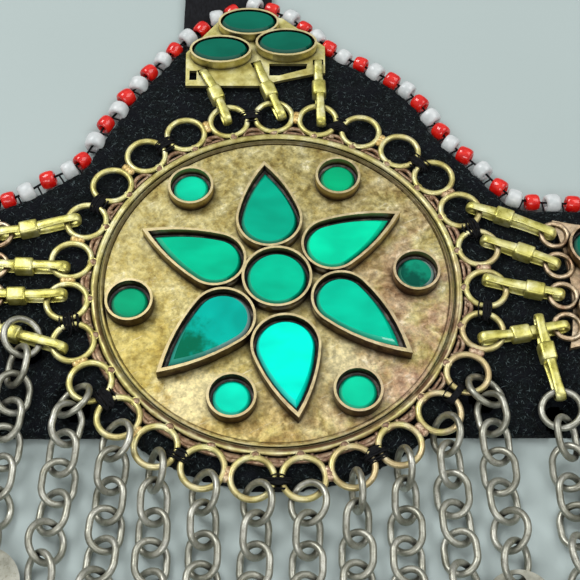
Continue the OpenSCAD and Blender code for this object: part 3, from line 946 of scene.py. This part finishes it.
def solder_work():
    """Solder at the foot of each loop and in the bare joints, and a small bent wire between two loops."""
    rng = random.Random(8)
    lumps = Shape()
    lumps.add(*solder_seam())
    for k in range(LOOPS):
        angle = loop_angle(k)
        foot = polar(RIM_R + 0.15, angle, WIRE_Z - 0.05)
        lumps.add(*blob(foot, (0.8, 0.8, 0.62), k * 3.1))
        between = (angle + loop_angle(k + 1)) / 2
        out = polar(1, between)
        side = left_of(out)
        points = []
        for j in range(CURL_POINTS):
            a = math.pi * (j / (CURL_POINTS - 1)) * 1.1 - 0.15
            points.append(
                polar(RIM_R + 0.25, between, WIRE_Z - 0.35 + 0.15 * math.sin(a))
                + side * 1.75 * math.cos(a)
                + out * (1.15 + rng.uniform(-0.02, 0.02)) * math.sin(a)
            )
        lumps.add(*tube(points, lambda t, k=k: 0.36 + 0.1 * noise.noise(Vector((t * 5, k * 1.7, 0))), 8))
        if k % 3 == 1:
            lumps.add(*blob(polar(RIM_R + 1.0, between + 1.2, WIRE_Z - 0.2), (0.6, 0.5, 0.4), k * 1.3))
        if k not in SEWN:
            for step in (-0.55, 0, 0.6):
                joint = polar(LOOP_RING + step, between, WIRE_Z + 0.05)
                lumps.add(*blob(joint, (0.72, 0.72, 0.5), k * 1.9 + step))
    return lumps.build("solder_work", SOLDER, "brass")


bindings()
solder_work()


# Folded links

# Sizes and places of the CAD part's links and side plates, which the strips below follow
STRIP_W, STRIP_T, STRIP_H = 1.5, 0.4, 2.3
COLLAR_L, COLLAR_W = 3.0, 2.5
LINK_Z = 3.25
SIDE_X, SIDE_Y, SIDE_HALF, SIDE_STONE = 58, 0, 12, 5.9
SIDE_LOOPS = (8.9, 3, -2.7, -8.3)


def loop_at(k):
    return polar(LOOP_RING, loop_angle(k))


def side_link(k, shift, side, j, collar):
    """A link from the medallion's loop k to loop j of the left (-1) or right (1) side plate."""
    start = loop_at(k) + Vector((*shift, 0))
    end = Vector((side * (SIDE_X - SIDE_HALF), SIDE_Y + SIDE_LOOPS[j], 0))
    return start, end - (end - start).normalized() * 0.9, collar, 0


# Start, end, place of the collar from 0 to 1, and how far the link is raised
LINKS = {
    "peak_link_1": (loop_at(26) + Vector((-0.4, 0.6, 0)), Vector((-13, 43.2, 0)), 0.52, 0),
    "peak_link_2": (loop_at(0) + Vector((1.2, 0.6, 0)), Vector((-3.4, 45, 0)), 0.48, 0),
    "peak_link_3": (loop_at(1) + Vector((0.6, 0, 0)), Vector((7.5, 45.4, 0)), 0.55, 0),
    "left_link_1": side_link(22, (-2, 0.2), -1, 0, 0.64),
    "left_link_2": side_link(21, (-1.2, -1.4), -1, 1, 0.6),
    "left_link_3": side_link(20, (-1.1, 1.1), -1, 2, 0.66),
    "left_link_4": side_link(19, (-1.8, -1), -1, 3, 0.7),
    "right_link_1": side_link(5, (2.2, 0.4), 1, 0, 0.4),
    "right_link_2": side_link(6, (1.6, 1.2), 1, 1, 0.55),
    "right_link_3": side_link(7, (0.6, 1.5), 1, 2, 0.66),
    "right_link_4": side_link(8, (0.2, -1.4), 1, 3, 0.45),
    "right_link_5": (Vector((41.3, -7.8, 0)), Vector((42.9, -20.4, 0)), 0.45, 0.9),
}


def half_round(width, thick):
    """Section of the strip: flat inside, crowned outside, as across and outward."""
    inside = [(width / 2 * t, -thick / 2) for t in (-0.86, 0, 0.86)]
    edge = [(width / 2, -thick * 0.28), (width / 2, 0.0)]
    angles = [math.pi * i / 8 for i in range(1, 8)]
    crown = [(width / 2 * math.cos(a), thick * 0.62 * math.sin(a)) for a in angles]
    return inside + edge + crown + [(-width / 2, 0.0), (-width / 2, -thick * 0.28)]


def folded_line(run, r):
    """Middle line of the folded strip, as places and the directions that point out of the fold."""
    steps, bends = 14, 8
    line = []
    for face in (1, -1):
        for i in range(steps + 1):
            x = run * i / steps if face > 0 else run * (1 - i / steps)
            line.append((Vector((x, 0, face * r)), up(face)))
        bend = Vector((run if face > 0 else 0, 0, 0))
        for i in range(1, bends):
            a = face * math.pi / 2 - math.pi * i / bends
            out = Vector((math.cos(a), 0, math.sin(a)))
            line.append((bend + out * r, out))
    return line


# How far along the leaves the collar's grip reaches
GRIP_REACH = 2.6
STRIP_SHARP_ANGLE = math.radians(50)


def folded_link(name):
    """A strip folded into a long loop and held by a collar, with the unevenness of hand work."""
    start, end, collar, rise = LINKS[name]
    rng = random.Random(name)
    way = end - start
    run = way.length
    line = folded_line(run, (STRIP_H - STRIP_T) / 2)
    section = half_round(STRIP_W, STRIP_T)
    phase = rng.uniform(0, 6)
    sway = rng.uniform(0.08, 0.22) * rng.choice((-1, 1))
    verts = []
    for place, out in line:
        t = place.x / run
        grip = 1 - math.exp(-(((t - collar) * run / GRIP_REACH) ** 2))
        place = place - out * 0.1 * (1 - grip)
        ripple = 0.08 * math.sin(7 * t + phase) * (1 if out.z > 0 else -0.6)
        bend = Vector((0, sway * math.sin(math.pi * t) + ripple, 0))
        wide = 1 + 0.08 * math.sin(9 * t + phase)
        for u, v in section:
            verts.append(place + bend + Vector((0, u * wide, 0)) + out * v)
    link = Shape()
    link.add(verts, ring_faces(len(line), len(section), closed=True, flip=True))
    link.add(*collar_band(Vector((run * collar, sway * math.sin(math.pi * collar), 0.1)), rng))
    turn = Matrix.Translation(start + up(LINK_Z + rise))
    turn = turn @ Matrix.Rotation(math.atan2(way.y, way.x), 4, "Z")
    link.verts = [turn @ v for v in link.verts]
    made = link.build(name + "_strip", LINK, "link_brass")
    made.data.set_sharp_from_angle(angle=STRIP_SHARP_ANGLE)
    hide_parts(name)


def collar_band(middle, rng):
    """A short strip wrapped round both leaves, with soft corners and a lapped end."""
    half_l, half_w, half_h = COLLAR_L / 2, COLLAR_W / 2, (STRIP_H + 0.2) / 2
    # place along the collar and size of each ring
    rings = [(-1, 0.86), (-0.93, 0.97), (-0.75, 1), (0.75, 1), (0.93, 0.97), (1, 0.86)]
    turns, box = 28, 0.42
    skew = rng.uniform(-0.12, 0.12)
    verts = []
    for x, size in rings:
        for i in range(turns):
            a = 2 * math.pi * i / turns
            c, s = math.cos(a), math.sin(a)
            y = math.copysign(abs(c) ** box, c) * half_w * size
            z = math.copysign(abs(s) ** box, s) * half_h * size
            verts.append(middle + Vector((x * half_l + skew * y, y, z)))
    return verts, ring_faces(len(rings), turns) + end_faces(len(rings), turns)


for name in LINKS:
    folded_link(name)


# Dark pitch round the glass

PEAK_TOP = 3.4
# Thickness of a collet's wall, and the width of the pitch between it and the glass
WALL, SPACE = 0.4, 0.5
# Petals as the near end, the tip, the half width and the radius of the flanks
PETALS = [
    ((-0.85, 5.6), (-2.2, 22.7), 5.5, 26), ((4.55, 3.75), (20.5, 12.4), 5, 32),
    ((6.7, -0.6), (20.9, -13.9), 4.95, 30), ((0.55, -6.9), (3.25, -24.7), 5.5, 28),
    ((-4.8, -3.7), (-18.4, -17.2), 5.3, 34), ((-5.4, 1.1), (-22.1, 8.9), 5.1, 34),
]  # fmt: skip
# Small round stones as the angle and the distance from the middle
ROUNDS = [(129.2, 22.9), (62.5, 22.3), (3, 22.5), (-58.2, 23.4), (-108.2, 22), (190.5, 23.8)]
PEAK_STONES = [(-5.2, 54.5), (-10.2, 47.8), (1.7, 49.5)]
CENTRE_R, SMALL_R, SIDE_R, OVAL_R = 5.65, 3.8, 4.35, (5.6, 3.3)
FLANK_STEPS, ROUND_STEPS = 9, 40


def drop_line(radius, reach, flank):
    """Outline of a drop round the origin with its tip on +X, its flanks arcs of the given radius."""
    a = math.acos((2 * flank * radius - radius**2 - reach**2) / (2 * reach * (flank - radius)))
    middle = Vector((-(flank - radius) * math.cos(a), -(flank - radius) * math.sin(a), 0))
    at_tip = math.atan2(-middle.y, reach - middle.x)
    upper = []
    for i in range(1, FLANK_STEPS):
        t = at_tip + (a - at_tip) * i / FLANK_STEPS
        upper.append(middle + Vector((flank * math.cos(t), flank * math.sin(t), 0)))
    line = [Vector((reach, 0, 0))] + upper
    for i in range(ROUND_STEPS + 1):
        t = a + (2 * math.pi - 2 * a) * i / ROUND_STEPS
        line.append(Vector((radius * math.cos(t), radius * math.sin(t), 0)))
    return line + [Vector((p.x, -p.y, 0)) for p in reversed(upper)]


def oval_line(wide, high):
    angles = [2 * math.pi * i / ROUND_STEPS for i in range(ROUND_STEPS)]
    return [Vector((wide * math.cos(a), high * math.sin(a), 0)) for a in angles]


def filling(outer, inner, place):
    """A band of pitch between the wall and the glass, lowest in its middle."""
    middle = [a.lerp(b, 0.5) for a, b in zip(outer, inner)]
    heights = ((outer, 0.55), (middle, 0.3), (inner, 0.4))
    verts = [place @ (p + up(z)) for line, z in heights for p in line]
    return verts, ring_faces(len(heights), len(outer))


def fillings():
    dark = Shape()
    for near, tip, half, flank in PETALS:
        near, tip = Vector(near), Vector(tip)
        way = tip - near
        reach = (way.length - half) / half
        flank /= half
        wall, glass = half - WALL, half - WALL - SPACE
        place = Matrix.Translation((*(near + way.normalized() * half), PLATE_TOP))
        place = place @ Matrix.Rotation(math.atan2(way.y, way.x), 4, "Z")
        lines = [drop_line(r, reach * r, flank * r) for r in (wall, glass)]
        dark.add(*filling(*lines, place))
    wells = [(0, 0, CENTRE_R)] + [(*polar(r, a).xy, SMALL_R) for a, r in ROUNDS]
    for side in (-1, 1):
        for x in (-1, 1):
            for y in (-1, 1):
                wells.append((side * SIDE_X + x * SIDE_STONE, SIDE_Y + y * SIDE_STONE, SIDE_R))
    for x, y, r in wells:
        place = Matrix.Translation((x, y, PLATE_TOP))
        outer, inner = r - WALL, r - WALL - SPACE
        dark.add(*filling(oval_line(outer, outer), oval_line(inner, inner), place))
    for x, y in PEAK_STONES:
        wide, high = (r - WALL for r in OVAL_R)
        outer = oval_line(wide, high)
        inner = oval_line(wide - SPACE / 2, high - SPACE / 2)
        dark.add(*filling(outer, inner, Matrix.Translation((x, y, PEAK_TOP))))
    return dark.build("setting_pitch", PITCH, "brass")


fillings()


# Table, light and camera

TABLE_HALF = 1.5
table_mesh = bpy.data.meshes.new("table")
corners = [(x * TABLE_HALF, y * TABLE_HALF, 0) for x, y in ((-1, -1), (1, -1), (1, 1), (-1, 1))]
table_mesh.from_pydata(corners, [], [(0, 1, 2, 3)])
table_mesh.materials.append(tabletop())
table = bpy.data.objects.new("table", table_mesh)
bpy.context.scene.collection.objects.link(table)

# What the lights and the camera point at, in metres
MIDDLE = Vector((0, 0, 0.005))


def area_light(name, place, size, power, colour=(1, 1, 1)):
    data = bpy.data.lights.new(name, "AREA")
    data.shape = "RECTANGLE"
    data.size, data.size_y = size
    data.energy = power
    data.color = colour
    light = bpy.data.objects.new(name, data)
    light.location = place
    light.rotation_euler = (MIDDLE - Vector(place)).to_track_quat("-Z", "Y").to_euler()
    bpy.context.scene.collection.objects.link(light)


area_light("key", (-0.36, 0.3, 0.62), (0.4, 0.3), 2.7)
area_light("fill", (0.42, 0.08, 0.62), (0.5, 0.5), 1.8)
area_light("glint", (-0.1, -0.5, 0.45), (0.5, 0.16), 1.1)

world = bpy.data.worlds.new("studio")
world.use_nodes = True
tree = world.node_tree
sky = tree.nodes.new("ShaderNodeTexCoord")
height = tree.nodes.new("ShaderNodeSeparateXYZ")
shade = tree.nodes.new("ShaderNodeValToRGB")
tree.links.new(sky.outputs["Generated"], height.inputs[0])
tree.links.new(height.outputs["Z"], shade.inputs["Fac"])
tree.links.new(shade.outputs["Color"], tree.nodes["Background"].inputs["Color"])
# Dark at the horizon and bright overhead, as in a room with a lit ceiling
horizon, overhead = shade.color_ramp.elements
horizon.position = 0.1
horizon.color = (0.16, 0.17, 0.17, 1)
overhead.position = 0.75
overhead.color = (1.0, 1.0, 1.0, 1)
tree.nodes["Background"].inputs["Strength"].default_value = 0.55
bpy.context.scene.world = world
bpy.context.scene.view_settings.view_transform = "Standard"

ELEVATION = math.radians(59)
DISTANCE = 0.18
FOCAL_PX = 1125
SENSOR_MM = 36
# Where the photo shows the middle of the medallion, in pixels from the picture's middle
SEEN_RIGHT, SEEN_UP = -13, 14.4

camera_data = bpy.data.cameras.new("camera")
camera_data.sensor_width = SENSOR_MM
camera_data.lens = FOCAL_PX / PHOTO_PX * SENSOR_MM
camera_data.clip_start = 0.01
camera = bpy.data.objects.new("camera", camera_data)
bpy.context.scene.collection.objects.link(camera)
back = Vector((0, -math.cos(ELEVATION), math.sin(ELEVATION)))
look = (-back).to_track_quat("-Z", "Y").to_matrix()
yaw = Matrix.Rotation(math.atan(SEEN_RIGHT / FOCAL_PX), 3, "Y")
tip = Matrix.Rotation(-math.atan(SEEN_UP / FOCAL_PX), 3, "X")
camera.matrix_world = Matrix.Translation(MIDDLE + back * DISTANCE) @ (look @ yaw @ tip).to_4x4()
bpy.context.scene.camera = camera
